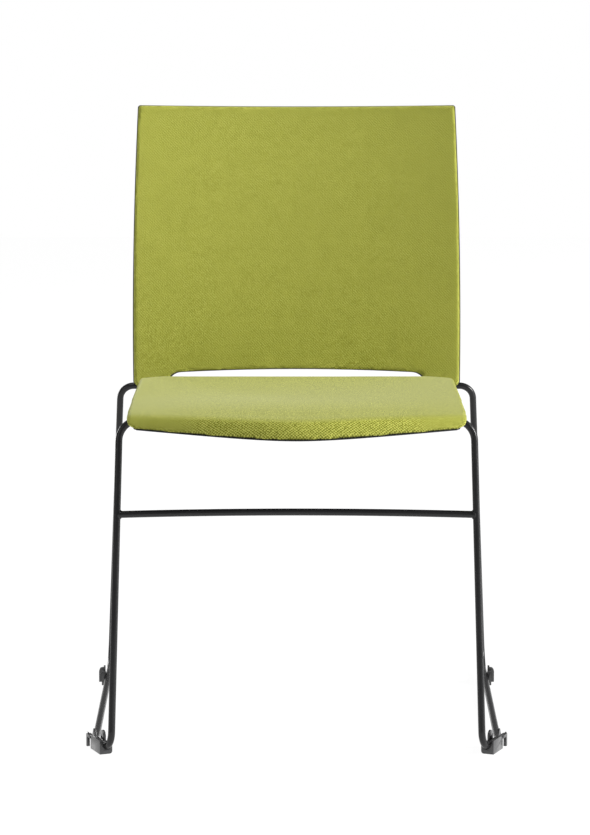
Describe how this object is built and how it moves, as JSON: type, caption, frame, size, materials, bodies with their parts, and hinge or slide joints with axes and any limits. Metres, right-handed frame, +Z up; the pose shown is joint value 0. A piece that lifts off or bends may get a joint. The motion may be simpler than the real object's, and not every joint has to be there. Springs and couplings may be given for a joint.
{
  "type": "sled base visitor chair",
  "caption": "Visitor chair with an upholstered waterfall seat and curved upholstered back on a bent rod sled frame with a footrail and linking glides.",
  "frame": {"origin": "middle of the overall bounding box in X and Y, on the floor under the glides", "axes": "+Z up; -Y towards the front of the seat, where the sitter's knees are; +X to the right of someone who faces the chair from the front, so right_ pieces are on +X"},
  "size_m": [0.5806, 0.5733, 0.8413],
  "materials": {
    "frame": "satin black powder coat",
    "shell_plastic": "fine grained black",
    "carrier_plastic": "plain dark grey",
    "foam": "open cell foam",
    "seat_fabric": "lime green fine crepe weave",
    "fittings": "zinc plated",
    "buffer_rubber": "matte black",
    "glide_plastic": "satin black"
  },
  "bodies": {
    "root": {"right_side_frame": "frame", "left_side_frame": "frame", "front_cross_rod": "frame", "rear_cross_rod": "frame", "footrail": "frame", "seat_pan": "shell_plastic", "seat_carrier": "carrier_plastic", "seat_foam": "foam", "seat_cover": "seat_fabric", "seat_inserts": "fittings", "seat_pad_screws": "fittings", "front_left_saddle_cap": "shell_plastic", "front_right_saddle_cap": "shell_plastic", "rear_left_saddle_cap": "shell_plastic", "rear_right_saddle_cap": "shell_plastic", "saddle_screws": "fittings", "stacking_buffers": "buffer_rubber", "back_shell": "shell_plastic", "back_carrier": "carrier_plastic", "back_foam": "foam", "back_cover": "seat_fabric", "back_inserts": "fittings", "back_pad_screws": "fittings", "right_arm_cap": "shell_plastic", "left_arm_cap": "shell_plastic", "arm_cap_screws": "fittings", "front_right_glide": "glide_plastic", "front_left_glide": "glide_plastic", "rear_right_glide": "glide_plastic", "rear_left_glide": "glide_plastic"}
  },
  "joints": []
}
